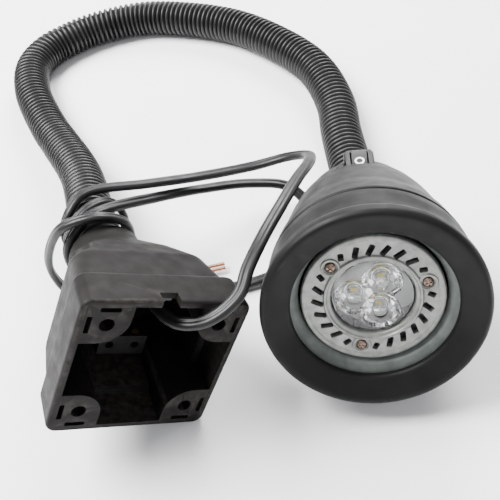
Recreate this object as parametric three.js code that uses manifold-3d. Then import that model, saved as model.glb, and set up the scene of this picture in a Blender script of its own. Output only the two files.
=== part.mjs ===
// Gooseneck work lamp for a machine tool: a hollow plastic screw-down base, a ribbed flexible
// hose and a round lamp head with a three-emitter LED spot bulb, lying on its side on a table.
// Millimetres, +Z up. The lamp lies along +Y; the origin is the middle of its footprint.
import * as THREE from 'three';
import { mergeVertices } from 'three/addons/utils/BufferGeometryUtils.js';
import Module from 'manifold-3d';

const wasm = await Module();
wasm.setup();

// ---- driving dimensions -------------------------------------------------------------------
const GAP = 0.3;
const ROUND = 40;

// Where the two ends lie: the middle of each open face, then turn, lift and roll in degrees.
const BASE_PLACE = { at: [-21.2, -159.5, 39.8], turn: 13.2, lift: -3, roll: -31.5 };
const HEAD_PLACE = { at: [57.6, -163.9, 47.6], turn: -9.7, lift: -19, roll: 0 };
const FOOTPRINT_MIDDLE = [3.1, -22.2, -0.1];

const BASE_HALF = 30;
const BASE_CORNER = 4;
const BASE_WALL = 2.4;
const SKIRT_DEPTH = 15;
const NECK_SHOULDER = 54.5;
const NECK_END = 64;
const BOSS_SIZE = 18;
const BOSS_CORNER = 10;
const SCREW_INSET = 10;
const SCREW_HOLE = 2.6;
const NOTCH_WIDTH = 6.5;
const NOTCH_DEPTH = 5;

const SLEEVE_RADIUS = 8;
const SLEEVE_BORE = 6;
const NUT_ACROSS_FLATS = 20;

const HOSE_RADIUS = 10;
const HOSE_LENGTHS = 8;
const FIRST_HOSE_LENGTH = 84;
const HOSE_CLEARANCE = 2.7;
const BALL_RADIUS = 6;

const HOOD_RADIUS = 38.9;
const HOOD_LENGTH = 21.5;
const HOOD_HOLE = 28.5;
const SPIGOT_RADIUS = HOOD_RADIUS - 5;
const HEAD_LENGTH = 80;
const HEAD_WALL = 2.4;
const VENT_GROUPS = [11, 65, 119, 173, 227, 281, 329];
const VENT_PITCH = 6.5;
const VENT = { width: 1.2, front: 62.5, back: 70.5 };
const SWITCH_ANGLE = -2;
const SWITCH_SLOPE = 8;
const SWITCH_RADIUS = 26.1;
const SWITCH_BACK = 69.5;
const SWITCH_WIDTH = 10.4;
const SWITCH_LENGTH = 13;

const BULB_RADIUS = 25;
const BULB_FACE = 9.5;
const OPTIC_RADIUS = 14.2;
const SLOT_PITCH = 15;
const BULB_SCREW_RADIUS = 19.4;
const BULB_SCREW_ANGLES = [-105.5, 14.5, 134.5];
const LED_ANGLES = [-70, 57, 178];
const LED_CIRCLE = 6.3;
const LENS_RADIUS = 7.4;
const PIN_END = 54;
const PIN_SPREAD = 2.67;
const SOCKET_FRONT = BULB_FACE + 48;
const SOCKET_BACK = SOCKET_FRONT + 10;

// ---- finishes -----------------------------------------------------------------------------
const finish = (color, roughness, metalness) =>
  new THREE.MeshStandardMaterial({ color, roughness, metalness });
const BLACK_PLASTIC = finish(0x2c2d2f, 0.62, 0);
const HOSE_BLACK = finish(0x2a2b2d, 0.5, 0);
const CORD_BLACK = finish(0x17181a, 0.35, 0);
const ALUMINIUM = finish(0x8f938f, 0.45, 0.8);
const ZINC = finish(0xa6a8a8, 0.35, 0.9);
const COPPER = finish(0xb5694a, 0.4, 0.8);
const BRASS = finish(0xb08d4a, 0.35, 0.9);
const COPPER_SCREW = finish(0x7a5a48, 0.4, 0.8);
const CERAMIC = finish(0xe6e2d6, 0.5, 0);
const CLEAR = finish(0xe8eef0, 0.05, 0);
const YELLOW = finish(0xe0c040, 0.4, 0);
const WHITE_BOARD = finish(0xe8e8e4, 0.5, 0);
const GREY_RING = finish(0x6c726e, 0.55, 0.3);
const NYLON = finish(0x303133, 0.5, 0);

// ---- solids -------------------------------------------------------------------------------
const radians = THREE.MathUtils.degToRad;

/** One closed surface: shared corners merged, pole slivers dropped, faces pointing out. */
function closed(geometry) {
  const bare = geometry.clone();
  bare.deleteAttribute('normal');
  bare.deleteAttribute('uv');
  const merged = mergeVertices(bare, 1e-4);
  const corners = merged.index.array;
  const faces = [];
  for (let i = 0; i < corners.length; i += 3) {
    const [a, b, c] = [corners[i], corners[i + 1], corners[i + 2]];
    if (a !== b && b !== c && c !== a) faces.push(a, b, c);
  }
  merged.setIndex(signedVolume(merged, faces) < 0 ? faces.reverse() : faces);
  return merged;
}

function signedVolume(geometry, faces) {
  const place = geometry.attributes.position;
  const [a, b, c] = [new THREE.Vector3(), new THREE.Vector3(), new THREE.Vector3()];
  let volume = 0;
  for (let i = 0; i < faces.length; i += 3) {
    a.fromBufferAttribute(place, faces[i]);
    b.fromBufferAttribute(place, faces[i + 1]);
    c.fromBufferAttribute(place, faces[i + 2]);
    volume += a.dot(b.cross(c)) / 6;
  }
  return volume;
}

function solid(geometry) {
  const shape = closed(geometry);
  return new wasm.Manifold(new wasm.Mesh({
    numProp: 3,
    vertProperties: new Float32Array(shape.attributes.position.array),
    triVerts: new Uint32Array(shape.index.array),
  }));
}

function surface(body) {
  const mesh = body.getMesh();
  const geometry = new THREE.BufferGeometry();
  geometry.setAttribute('position', new THREE.BufferAttribute(mesh.vertProperties, 3));
  geometry.setIndex(new THREE.BufferAttribute(mesh.triVerts, 1));
  return geometry;
}

const join = (first, ...rest) =>
  surface(rest.reduce((body, extra) => body.add(solid(extra)), solid(first)));
const cut = (first, ...rest) =>
  surface(rest.reduce((body, tool) => body.subtract(solid(tool)), solid(first)));
const overlap = (first, second) => surface(solid(first).intersect(solid(second)));

/** Turned about the local z axis, from [radius, distance behind the face] pairs. */
function turned(profile, segments = ROUND) {
  const points = profile.map(([radius, back]) => new THREE.Vector2(radius, -back));
  return new THREE.LatheGeometry(points, segments).rotateX(Math.PI / 2);
}

/** A ring or stepped ring: the profile closes on itself. */
const ring = (profile, segments) => turned([...profile, profile[0]], segments);

/** A round rod along z from `front` to `back`, both behind the face. */
function rod(radius, front, back, segments = 24) {
  const middle = -(front + back) / 2;
  return new THREE.CylinderGeometry(radius, radius, back - front, segments)
    .rotateX(Math.PI / 2).translate(0, 0, middle);
}

/** A block with its middle at x, y, running from `front` to `back` behind the face. */
function block(width, height, front, back, x = 0, y = 0) {
  return new THREE.BoxGeometry(width, height, back - front).translate(x, y, -(front + back) / 2);
}

/** Distance from the middle of a rounded square to its edge, in the direction `angle`. */
function squareReach(angle, half, corner) {
  const long = Math.max(Math.abs(Math.cos(angle)), Math.abs(Math.sin(angle)));
  const short = Math.min(Math.abs(Math.cos(angle)), Math.abs(Math.sin(angle)));
  const flat = half - corner;
  if (half * short / long <= flat) return half / long;
  const along = flat * (long + short);
  return along + Math.sqrt(along * along - 2 * flat * flat + corner * corner);
}

/** A stack of rounded squares, each { back, half, corner }, skinned from first to last. */
function squareStack(levels) {
  const ends = [[0, levels[0].back], ...levels.map((level) => [level.half, level.back]),
    [0, levels.at(-1).back]];
  const geometry = turned(ends, 48);
  const place = geometry.attributes.position;
  for (let i = 0; i < place.count; i++) {
    const level = levels[(i % ends.length) - 1];
    if (!level) continue;
    const angle = Math.atan2(place.getY(i), place.getX(i));
    const reach = squareReach(angle, level.half, level.corner);
    place.setXY(i, reach * Math.cos(angle), reach * Math.sin(angle));
  }
  return geometry;
}

function hexNut(front, back) {
  const radius = NUT_ACROSS_FLATS / Math.sqrt(3);
  return cut(rod(radius, front, back, 6), rod(SLEEVE_RADIUS + GAP, front - 1, back + 1));
}

// ---- scene helpers ------------------------------------------------------------------------
const lamp = new THREE.Group();

function add(group, name, geometry, material) {
  const mesh = new THREE.Mesh(closed(geometry), material);
  mesh.name = name;
  group.add(mesh);
  return mesh;
}

/** One mesh for each copy of a repeated piece, numbered from 1. */
function addEach(group, name, geometries, material) {
  geometries.forEach((geometry, i) => add(group, `${name}_${i + 1}`, geometry, material));
}

/** A frame whose +z looks out of an open face and whose +y is up the face. */
function faceFrame({ at, turn, lift, roll }) {
  const group = new THREE.Group();
  group.position.set(...at);
  const axis = (x, y, z, angle) =>
    new THREE.Quaternion().setFromAxisAngle(new THREE.Vector3(x, y, z), radians(angle));
  group.quaternion.copy(axis(0, 0, 1, turn))
    .multiply(axis(1, 0, 0, 90 + lift)).multiply(axis(0, 0, 1, roll));
  group.updateMatrixWorld();
  lamp.add(group);
  return group;
}

const base = faceFrame(BASE_PLACE);
const head = faceFrame(HEAD_PLACE);
const behind = (group, back) => group.localToWorld(new THREE.Vector3(0, 0, -back));

// ---- base ---------------------------------------------------------------------------------
function cornerBoss(signX, signY) {
  const low = BASE_HALF - BOSS_SIZE;
  const high = BASE_HALF - 0.5;
  const outline = new THREE.Shape();
  outline.moveTo(high, high);
  outline.lineTo(low, high);
  outline.lineTo(low, low + BOSS_CORNER);
  outline.absarc(low + BOSS_CORNER, low + BOSS_CORNER, BOSS_CORNER, Math.PI, 1.5 * Math.PI);
  outline.lineTo(high, low);
  const depth = 38;
  const boss = new THREE.ExtrudeGeometry(outline, { depth, bevelEnabled: false, curveSegments: 6 })
    .translate(0, 0, -depth);
  return boss.scale(signX, signY, 1);
}

function bossCuts(signX, signY) {
  const at = BASE_HALF - SCREW_INSET;
  const slotAt = BASE_HALF - 3.7;
  const slotLength = 7;
  const slotWidth = 1.7;
  const move = (geometry) => geometry.translate(signX * at, signY * at, 0);
  return [
    move(rod(SCREW_HOLE, -1, 50, 20)),
    move(rod(5.2, 9, 55, 24)),
    block(slotWidth, slotLength, -1, 6, signX * slotAt, signY * at),
    block(slotLength, slotWidth, -1, 6, signX * at, signY * slotAt),
  ];
}

function baseShell() {
  const outer = squareStack([
    { back: 0, half: BASE_HALF, corner: BASE_CORNER },
    { back: SKIRT_DEPTH, half: BASE_HALF - 0.6, corner: BASE_CORNER },
    { back: SKIRT_DEPTH + 1.8, half: BASE_HALF - 2.6, corner: BASE_CORNER + 0.6 },
    { back: 32, half: 25.6, corner: 7 },
    { back: 43, half: 21.4, corner: 10 },
    { back: 50.5, half: 17.6, corner: 13 },
    { back: 56, half: 15.2, corner: 15.2 },
    { back: NECK_END, half: 14.4, corner: 14.4 },
  ]);
  const inner = squareStack([
    { back: -1, half: BASE_HALF - BASE_WALL, corner: 3 },
    { back: SKIRT_DEPTH - 1, half: BASE_HALF - BASE_WALL - 0.6, corner: 3 },
    { back: SKIRT_DEPTH, half: BASE_HALF - BASE_WALL - 2.6, corner: 3.4 },
    { back: 31, half: 23, corner: 5 },
    { back: 42, half: 18.6, corner: 8 },
    { back: 48.5, half: 14.8, corner: 11 },
    { back: NECK_SHOULDER, half: 12.4, corner: 12.4 },
  ]);
  const corners = [[1, 1], [-1, 1], [-1, -1], [1, -1]];
  const walls = cut(outer, inner);
  const bosses = corners.map(([x, y]) => overlap(outer, cornerBoss(x, y)));
  const notch = block(NOTCH_WIDTH, 2 * BASE_WALL + 2, -1, NOTCH_DEPTH, 0, BASE_HALF - 1);
  const neckBore = rod(SLEEVE_RADIUS + GAP, NECK_SHOULDER - 2, NECK_END + 2, ROUND);
  return cut(join(walls, ...bosses), ...corners.flatMap(([x, y]) => bossCuts(x, y)), notch, neckBore);
}

add(base, 'base_shell', baseShell(), BLACK_PLASTIC);

const WASHER_FRONT = NECK_SHOULDER - GAP - 1;
add(base, 'base_lock_washer', ring([
  [SLEEVE_RADIUS + GAP, WASHER_FRONT], [11.6, WASHER_FRONT],
  [11.6, WASHER_FRONT + 1], [SLEEVE_RADIUS + GAP, WASHER_FRONT + 1],
]), ZINC);
add(base, 'base_lock_nut', hexNut(WASHER_FRONT - GAP - 4, WASHER_FRONT - GAP), BRASS);

function hoseFerrule(front, flange, back) {
  return ring([
    [SLEEVE_BORE, front], [SLEEVE_RADIUS, front], [SLEEVE_RADIUS, flange],
    [HOSE_RADIUS + 1, flange], [HOSE_RADIUS + 1, back], [SLEEVE_BORE, back],
  ]);
}

const BASE_HOSE_START = NECK_END + 2.6;
add(base, 'base_hose_ferrule',
  hoseFerrule(NECK_SHOULDER - 8, NECK_END + GAP, BASE_HOSE_START - GAP), ZINC);

const TERMINAL = { x: 0, y: -12, front: 24, back: 34 };
const terminalHoles = [-5, 5].map((x) => rod(1.6, TERMINAL.front - 1, TERMINAL.back + 1, 16)
  .translate(TERMINAL.x + x, TERMINAL.y, 0));
const screwWells = [-5, 5].map((x) => new THREE.CylinderGeometry(1.9, 1.9, 4, 16)
  .translate(TERMINAL.x + x, TERMINAL.y + 4.5, -(TERMINAL.front + 2.6)));
add(base, 'terminal_block', cut(
  block(18, 9, TERMINAL.front, TERMINAL.back, TERMINAL.x, TERMINAL.y),
  ...terminalHoles, ...screwWells), NYLON);
addEach(base, 'terminal_screw', [-5, 5].map((x) =>
  new THREE.CylinderGeometry(1.5, 1.5, 1.2, 16)
    .translate(TERMINAL.x + x, TERMINAL.y + 3.5, -(TERMINAL.front + 2.6))), BRASS);

const CLAMP = { y: 16.2, front: 17, back: 24, screwX: 6.5 };
const acrossPlate = (radius, low, high) =>
  new THREE.CylinderGeometry(radius, radius, high - low, 16).translate(0, (low + high) / 2, 0);
const atClampScrews = (geometry) => [-1, 1].map((side) =>
  geometry.clone().translate(side * CLAMP.screwX, CLAMP.y, -(CLAMP.front + CLAMP.back) / 2));
add(base, 'cord_clamp', cut(block(18, 1.3, CLAMP.front, CLAMP.back, 0, CLAMP.y + 0.65),
  ...atClampScrews(acrossPlate(1.7, -1, 3))), ZINC);
addEach(base, 'cord_clamp_screw',
  atClampScrews(join(acrossPlate(2.3, -2, -GAP), acrossPlate(1.3, -1, 6.2))), ZINC);

// ---- hose ---------------------------------------------------------------------------------
const HEAD_HOSE_START = HEAD_LENGTH + 2.6;
const HOSE_ROUTE = [
  [-49, -29, 22], [-62, 10, 13.5], [-69, 29, 11], [-80, 69, 10], [-80, 93, 10],
  [-71, 108, 10], [-58, 116, 10], [-44, 121, 10], [-15, 122, 10], [12, 111, 10],
  [40, 91, 10], [61, 64, 10], [76, 33, 10], [80, 0, 10], [77, -27, 11],
];
const hosePath = new THREE.CatmullRomCurve3([
  behind(base, BASE_HOSE_START), behind(base, BASE_HOSE_START + 14),
  ...HOSE_ROUTE.map((point) => new THREE.Vector3(...point)),
  behind(head, HEAD_HOSE_START + 14), behind(head, HEAD_HOSE_START),
], false, 'centripetal');
hosePath.arcLengthDivisions = 800;
const hoseTotal = hosePath.getLength();
const laterLength = (hoseTotal - FIRST_HOSE_LENGTH) / (HOSE_LENGTHS - 1);
const hoseJoint = (index) => (index === 0 ? 0 : FIRST_HOSE_LENGTH + (index - 1) * laterLength);

class HoseStretch extends THREE.Curve {
  constructor(from, to) {
    super();
    this.from = from / hoseTotal;
    this.to = to / hoseTotal;
  }

  getPoint(t, target = new THREE.Vector3()) {
    return hosePath.getPointAt(THREE.MathUtils.lerp(this.from, this.to, t), target);
  }
}

function roundSection(radius, sides) {
  const angles = Array.from({ length: sides }, (_, i) => (2 * Math.PI * i) / sides);
  return new THREE.Shape(angles.map((angle) =>
    new THREE.Vector2(radius * Math.cos(angle), radius * Math.sin(angle))));
}

function hoseLength(index) {
  const first = index === 0;
  const last = index === HOSE_LENGTHS - 1;
  const from = hoseJoint(index) + (first ? 0 : HOSE_CLEARANCE);
  const to = hoseJoint(index + 1) - (last ? 0 : HOSE_CLEARANCE);
  const tube = new THREE.ExtrudeGeometry(roundSection(HOSE_RADIUS, 12), {
    extrudePath: new HoseStretch(from, to), steps: 8, bevelEnabled: false });
  const ball = (radius, at) => {
    const centre = hosePath.getPointAt(at / hoseTotal);
    return new THREE.SphereGeometry(radius, 12, 8).translate(centre.x, centre.y, centre.z);
  };
  const rounded = first ? tube : join(tube, ball(BALL_RADIUS, hoseJoint(index)));
  return last ? rounded : cut(rounded, ball(BALL_RADIUS + 0.5, hoseJoint(index + 1)));
}

for (let i = 0; i < HOSE_LENGTHS; i++) {
  add(lamp, `hose_length_${i + 1}`, hoseLength(i), HOSE_BLACK);
}

// ---- supply cord --------------------------------------------------------------------------
const CORD_RADIUS = 2.3;
const CORD_LEAVING = [
  [-32.4, -128.1, 32], [-27.3, -124.3, 41.3], [-22.5, -124.3, 49.1], [-18.2, -129.2, 54.3],
  [-15.6, -137.3, 56], [-13.4, -146.6, 54.5], [-6.8, -153.9, 53.2], [3.5, -156.2, 54.6],
  [14.5, -152, 58.5], [19.5, -143, 60.8], [26.5, -131.5, 61.5], [36, -114.5, 58.5],
  [45, -97, 53.5], [52.5, -82, 47.5], [53.5, -70, 40.5], [46, -61, 34], [31, -58, 30.5],
  [8, -59.5, 32.5], [-15, -65.5, 40],
];
const CORD_ROUND_THE_BASE = [
  [-25, -91.5, 46], [-33.5, -94.5, 54], [-47, -94, 52.5], [-57.5, -89.5, 38.5],
  [-62.5, -86.5, 22], [-59, -87.5, 8.5], [-48, -91, 3],
];
const CORD_UNDER_THE_LAMP = [
  [-30, -95.5, 2.8], [-5, -99, 2.7], [20, -100, 2.7], [36, -95.5, 2.8], [48, -83, 4.5],
  [52, -70, 8.5], [45, -59, 14.5], [28, -56.5, 19.5], [7, -60, 25.5], [-11, -69, 34.5],
];
const CORD_TAIL = [
  [-48, -96, 23], [-42, -91, 11], [-27, -85.5, 4.2], [0, -87, 2.7],
];

// The cord winds round the straight start of the hose. A station is [degrees from the top, mm along].
const WINDING_START = new THREE.Vector3(-36.5, -94.8, 36.4);
const WINDING_TOWARDS = new THREE.Vector3(-41.3, -71.5, 34);
const FIRST_WINDING = { radius: 13, stations: [[-20, 24], [60, 15], [300, 17], [420, 6], [630, 4]] };
const SECOND_WINDING = { radius: 14, stations: [[-20, 7], [40, 1], [100, 0]] };
const WINDING_STEP = 30;

function winding({ radius, stations }) {
  const along = WINDING_TOWARDS.clone().sub(WINDING_START).normalize();
  const top = new THREE.Vector3(0, 0, 1).projectOnPlane(along).normalize();
  const left = new THREE.Vector3().crossVectors(top, along);
  const points = [];
  stations.slice(1).forEach(([toAngle, toPlace], i) => {
    const [fromAngle, fromPlace] = stations[i];
    const steps = Math.round((toAngle - fromAngle) / WINDING_STEP);
    for (let step = i === 0 ? 0 : 1; step <= steps; step++) {
      const share = step / steps;
      const angle = radians(THREE.MathUtils.lerp(fromAngle, toAngle, share));
      const place = THREE.MathUtils.lerp(fromPlace, toPlace, THREE.MathUtils.smoothstep(share, 0, 1));
      points.push(WINDING_START.clone().addScaledVector(along, place)
        .addScaledVector(top, radius * Math.cos(angle)).addScaledVector(left, radius * Math.sin(angle)));
    }
  });
  return points;
}

/** Steps evenly from point to point, so that the closely spaced windings get the most steps. */
class CordPath extends THREE.CatmullRomCurve3 {
  getUtoTmapping(share) {
    return share;
  }
}

const toPoints = (list) => list.map((point) => new THREE.Vector3(...point));
const cordPath = new CordPath([
  ...toPoints(CORD_LEAVING), ...winding(FIRST_WINDING), ...toPoints(CORD_ROUND_THE_BASE),
  ...toPoints(CORD_UNDER_THE_LAMP), ...winding(SECOND_WINDING), ...toPoints(CORD_TAIL),
], false, 'centripetal');
add(lamp, 'cord_lead', new THREE.ExtrudeGeometry(roundSection(CORD_RADIUS, 8), {
  extrudePath: cordPath, steps: 82, bevelEnabled: false }), CORD_BLACK);

const [cordEndX, cordEndY, cordEndZ] = CORD_TAIL.at(-1);
addEach(lamp, 'cord_core', [-1.2, 1.2].map((side) =>
  new THREE.CylinderGeometry(0.8, 0.8, 9, 10).rotateZ(Math.PI / 2)
    .translate(cordEndX + GAP + 4.5, cordEndY + side, cordEndZ)), COPPER);

// ---- lamp head ----------------------------------------------------------------------------
add(head, 'front_hood', ring([
  [HOOD_RADIUS - 2, 0], [HOOD_RADIUS - 0.6, 0.7], [HOOD_RADIUS, 2.2], [HOOD_RADIUS, 4.4],
  [HOOD_RADIUS - 0.5, 6], [HOOD_RADIUS - 1.4, 8.5], [HOOD_RADIUS - 1.7, 14],
  [HOOD_RADIUS - 2, HOOD_LENGTH], [SPIGOT_RADIUS + GAP, HOOD_LENGTH],
  [SPIGOT_RADIUS + GAP, 7.6], [HOOD_HOLE + 0.6, 6.6], [HOOD_HOLE, 5.6], [HOOD_HOLE, 4.2],
  [HOOD_HOLE + 1, 3.4],
]), BLACK_PLASTIC);

const slab = (width, low, high, length) =>
  new THREE.BoxGeometry(width, high - low, length).translate(0, (low + high) / 2, 0);

function rearHousing() {
  const inside = HEAD_LENGTH - HEAD_WALL;
  const shell = ring([
    [SPIGOT_RADIUS, 16], [SPIGOT_RADIUS, HOOD_LENGTH + GAP], [36.6, HOOD_LENGTH + GAP],
    [36.2, 24], [35.2, 31], [33.4, 38], [30.4, 54], [27.7, 64.4], [26.2, 65.8], [24.2, 75.6],
    [22.8, 78.4], [20, HEAD_LENGTH], [SLEEVE_RADIUS + GAP, HEAD_LENGTH],
    [SLEEVE_RADIUS + GAP, inside], [20.4, inside], [22, 74], [24, 64], [28, 54], [30.8, 38],
    [33.4, 26], [SPIGOT_RADIUS - 2, 20], [SPIGOT_RADIUS - 2, 16],
  ]);
  const posts = [-15, 15].map((x) => rod(3, SOCKET_BACK + 1.8, HEAD_LENGTH - 1, 16).translate(x, 0, 0));
  const vents = VENT_GROUPS.flatMap((first) => [0, 1, 2].map((i) =>
    block(VENT.width, 8, VENT.front, VENT.back, 0, 26).rotateZ(radians(first + VENT_PITCH * i))));
  const opening = new THREE.BoxGeometry(SWITCH_WIDTH - 1.6, 24, SWITCH_LENGTH - 1.4)
    .applyMatrix4(switchMatrix());
  const pad = slab(SWITCH_WIDTH + 1.6, -2.6, 0.2, SWITCH_LENGTH + 1.2).applyMatrix4(switchMatrix());
  const pocket = slab(SWITCH_WIDTH + 2 * GAP, 0.2, 6, SWITCH_LENGTH + 2 * GAP)
    .applyMatrix4(switchMatrix());
  return cut(join(shell, pad, ...posts), ...vents, opening, pocket);
}

/** The switch sits in the rear crest: +y out of the surface, +z to the front. */
function switchMatrix() {
  return new THREE.Matrix4().makeRotationZ(radians(SWITCH_ANGLE))
    .multiply(new THREE.Matrix4().makeTranslation(0, SWITCH_RADIUS, -SWITCH_BACK))
    .multiply(new THREE.Matrix4().makeRotationX(radians(SWITCH_SLOPE)));
}

add(head, 'rear_housing', rearHousing(), BLACK_PLASTIC);
add(head, 'seat_ring', ring([
  [SPIGOT_RADIUS - 0.2, 8], [27.8, 9.6], [25.6, 11.4], [25.6, 14], [SPIGOT_RADIUS - 0.2, 14],
]), GREY_RING);
add(head, 'head_hose_ferrule',
  hoseFerrule(HEAD_LENGTH - 8, HEAD_LENGTH + GAP, HEAD_HOSE_START - GAP), ZINC);
add(head, 'head_lock_nut',
  hexNut(HEAD_LENGTH - HEAD_WALL - GAP - 3.6, HEAD_LENGTH - HEAD_WALL - GAP), BRASS);

const switchPlace = new THREE.Group();
switchPlace.applyMatrix4(switchMatrix());
head.add(switchPlace);
add(switchPlace, 'switch_body', cut(
  join(slab(SWITCH_WIDTH, 0.5, 1.6, SWITCH_LENGTH),
    slab(SWITCH_WIDTH - 2.4, -7, 1, SWITCH_LENGTH - 2.2)),
  slab(SWITCH_WIDTH - 3.6, -4.8, 3, SWITCH_LENGTH - 3.4)), BLACK_PLASTIC);

const atPins = (geometry) => [-1, 1].map((side) =>
  geometry.clone().translate(side * PIN_SPREAD, 0, 0));

const ROCKER_HALF = 4.1;
const rockerSide = new THREE.Shape();
rockerSide.moveTo(-ROCKER_HALF, -1.2);
rockerSide.lineTo(-ROCKER_HALF, 3.2);
rockerSide.lineTo(0, 2.1);
rockerSide.lineTo(ROCKER_HALF, 1.1);
rockerSide.lineTo(ROCKER_HALF, -0.4);
rockerSide.lineTo(0, -3);
const ROCKER_WIDTH = 6.2;
add(switchPlace, 'switch_rocker', new THREE.ExtrudeGeometry(rockerSide, {
  depth: ROCKER_WIDTH, bevelEnabled: false })
  .translate(0, 0, -ROCKER_WIDTH / 2).rotateY(-Math.PI / 2), BLACK_PLASTIC);

add(head, 'lamp_socket', cut(rod(8.5, SOCKET_FRONT, SOCKET_BACK, 32),
  ...atPins(rod(1.3, SOCKET_FRONT - 1, SOCKET_FRONT + 7.6, 12))), CERAMIC);
const BRACKET_FRONT = SOCKET_BACK + GAP;
add(head, 'socket_bracket', cut(block(38, 9, BRACKET_FRONT, BRACKET_FRONT + 1.2),
  ...[-15, 15].map((x) => rod(1.7, BRACKET_FRONT - 1, BRACKET_FRONT + 3, 12).translate(x, 0, 0))), ZINC);
addEach(head, 'bracket_screw', [-15, 15].map((x) => turned([
  [0, BRACKET_FRONT - 2], [2.5, BRACKET_FRONT - 2], [2.5, BRACKET_FRONT - GAP],
  [1.3, BRACKET_FRONT - GAP], [1.3, BRACKET_FRONT + 1.2], [0, BRACKET_FRONT + 1.2]], 12)
  .translate(x, 0, 0)), ZINC);

// ---- bulb, measured from its own face ----------------------------------------------------
const bulb = new THREE.Group();
bulb.position.z = -BULB_FACE;
head.add(bulb);

function bulbFace() {
  const plate = ring([
    [OPTIC_RADIUS + 0.4, 0.8], [15.6, 0.5], [16.4, 0], [17.2, 0.5], [BULB_RADIUS - 0.6, 0.3],
    [BULB_RADIUS, 0.9], [BULB_RADIUS, 3], [OPTIC_RADIUS + 0.4, 3],
  ]);
  const slots = [];
  for (let i = 0; i < 360 / SLOT_PITCH; i++) {
    const angle = BULB_SCREW_ANGLES[0] + SLOT_PITCH * i;
    if (i % 8 === 0) continue;
    slots.push(block(4.4, 2, -1, 4).rotateZ(radians(-28)).translate(19.2, 0, 0)
      .rotateZ(radians(angle)));
  }
  const wells = BULB_SCREW_ANGLES.flatMap((angle) => [rod(2.1, -1, 1.4, 12), rod(1.3, 0, 4, 12)]
    .map((tool) => tool.translate(BULB_SCREW_RADIUS, 0, 0).rotateZ(radians(angle))));
  return cut(plate, ...slots, ...wells);
}

function heatSink() {
  const body = turned([
    [0, 13], [15.5, 13], [15.5, 3.3], [24, 3.3], [24, 6], [20.5, 16], [13.5, 34], [0, 34],
  ]);
  const fins = [];
  for (let i = 0; i < 16; i++) {
    fins.push(block(1.8, 12, 7, 36, 0, 20.5).rotateZ((Math.PI * i) / 8));
  }
  return cut(body, ...fins);
}

const atLeds = (geometry) => LED_ANGLES.map((angle) =>
  geometry.clone().translate(LED_CIRCLE, 0, 0).rotateZ(radians(angle)));
const atBulbScrews = (geometry) => BULB_SCREW_ANGLES.map((angle) =>
  geometry.clone().translate(BULB_SCREW_RADIUS, 0, 0).rotateZ(radians(angle)));

add(bulb, 'bulb_face', bulbFace(), ALUMINIUM);
add(bulb, 'bulb_heat_sink', heatSink(), ALUMINIUM);
add(bulb, 'bulb_optic', join(rod(OPTIC_RADIUS, 1.4, 2.6, 32),
  ...atLeds(turned([[0, 1.8], [LENS_RADIUS, 1.8], [3.2, 9], [0, 9]], 20))), CLEAR);
add(bulb, 'led_board', rod(15.2, 11.6, 12.7, 32), WHITE_BOARD);
addEach(bulb, 'led', atLeds(turned([[0, 9.4], [1.6, 9.7], [2.4, 11.3], [0, 11.3]], 12)), YELLOW);
addEach(bulb, 'bulb_screw', atBulbScrews(turned([
  [0, -0.2], [1.4, -0.2], [1.8, 0.2], [1.8, 1.1], [1, 1.1], [1, 3], [0, 3]], 12)), COPPER_SCREW);
add(bulb, 'bulb_driver_cap', turned([
  [0, 34.3], [12.8, 34.3], [12, 39], [9, 42.4], [0, 42.4]], 32), WHITE_BOARD);
addEach(bulb, 'bulb_pin', atPins(rod(0.75, 42.7, PIN_END, 10)), ZINC);

const [middleX, middleY, tableZ] = FOOTPRINT_MIDDLE;
lamp.position.set(-middleX, -middleY, -tableZ);

export default lamp;
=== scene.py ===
"""Gooseneck work lamp for a machine tool, lying on a table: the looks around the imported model."""
import math

import bmesh
import bpy
from mathutils import Matrix, Vector


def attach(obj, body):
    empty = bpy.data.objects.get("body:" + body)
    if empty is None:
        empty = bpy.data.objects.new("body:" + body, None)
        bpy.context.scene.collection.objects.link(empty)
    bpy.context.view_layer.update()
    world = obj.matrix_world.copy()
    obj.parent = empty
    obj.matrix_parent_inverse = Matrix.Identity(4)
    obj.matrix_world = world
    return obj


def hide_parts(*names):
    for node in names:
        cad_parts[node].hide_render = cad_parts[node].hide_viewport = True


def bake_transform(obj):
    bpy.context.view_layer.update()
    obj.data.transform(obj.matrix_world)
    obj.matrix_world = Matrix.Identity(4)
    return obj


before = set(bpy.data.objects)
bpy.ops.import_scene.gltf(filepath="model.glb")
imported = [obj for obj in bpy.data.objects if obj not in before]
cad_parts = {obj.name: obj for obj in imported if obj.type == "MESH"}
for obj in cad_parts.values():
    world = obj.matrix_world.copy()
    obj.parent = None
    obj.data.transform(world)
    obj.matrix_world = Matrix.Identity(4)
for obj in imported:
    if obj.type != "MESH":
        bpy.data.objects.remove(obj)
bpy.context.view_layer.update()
MM = 0.001

# ---- where things lie, in millimetres -------------------------------------------------------
# The drawing's point that lies at the frame's origin.
FOOTPRINT_MIDDLE = Vector((3.1, -22.2, -0.1))
BASE_PLACE = {"at": (-21.2, -159.5, 39.8), "turn": 13.2, "lift": -3, "roll": -31.5}
HEAD_PLACE = {"at": (57.6, -163.9, 47.6), "turn": -9.7, "lift": -19, "roll": 0}
BASE_HALF = 30
NECK_END = 64
HEAD_LENGTH = 80
HOSE_RADIUS = 10
HOSE_LENGTHS = 8
FIRST_HOSE_LENGTH = 84
# Degrees round the head of the first vent in each group, and between vents.
VENT_GROUPS = (11, 65, 119, 173, 227, 281, 329)
VENT_PITCH = 6.5
# The switch stands on the housing's back: angle round it, slope, distance out and behind the face.
SWITCH_ANGLE = -2
SWITCH_SLOPE = 8
SWITCH_RADIUS = 26.1
SWITCH_BACK = 69.5
SWITCH_WIDTH = 10.4
SWITCH_LENGTH = 13
BULB_FACE = 9.5
OPTIC_RADIUS = 14.2
BULB_SCREW_RADIUS = 19.4
BULB_SCREW_ANGLES = (-105.5, 14.5, 134.5)
LED_ANGLES = (-70, 57, 178)
LED_CIRCLE = 6.3


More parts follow.
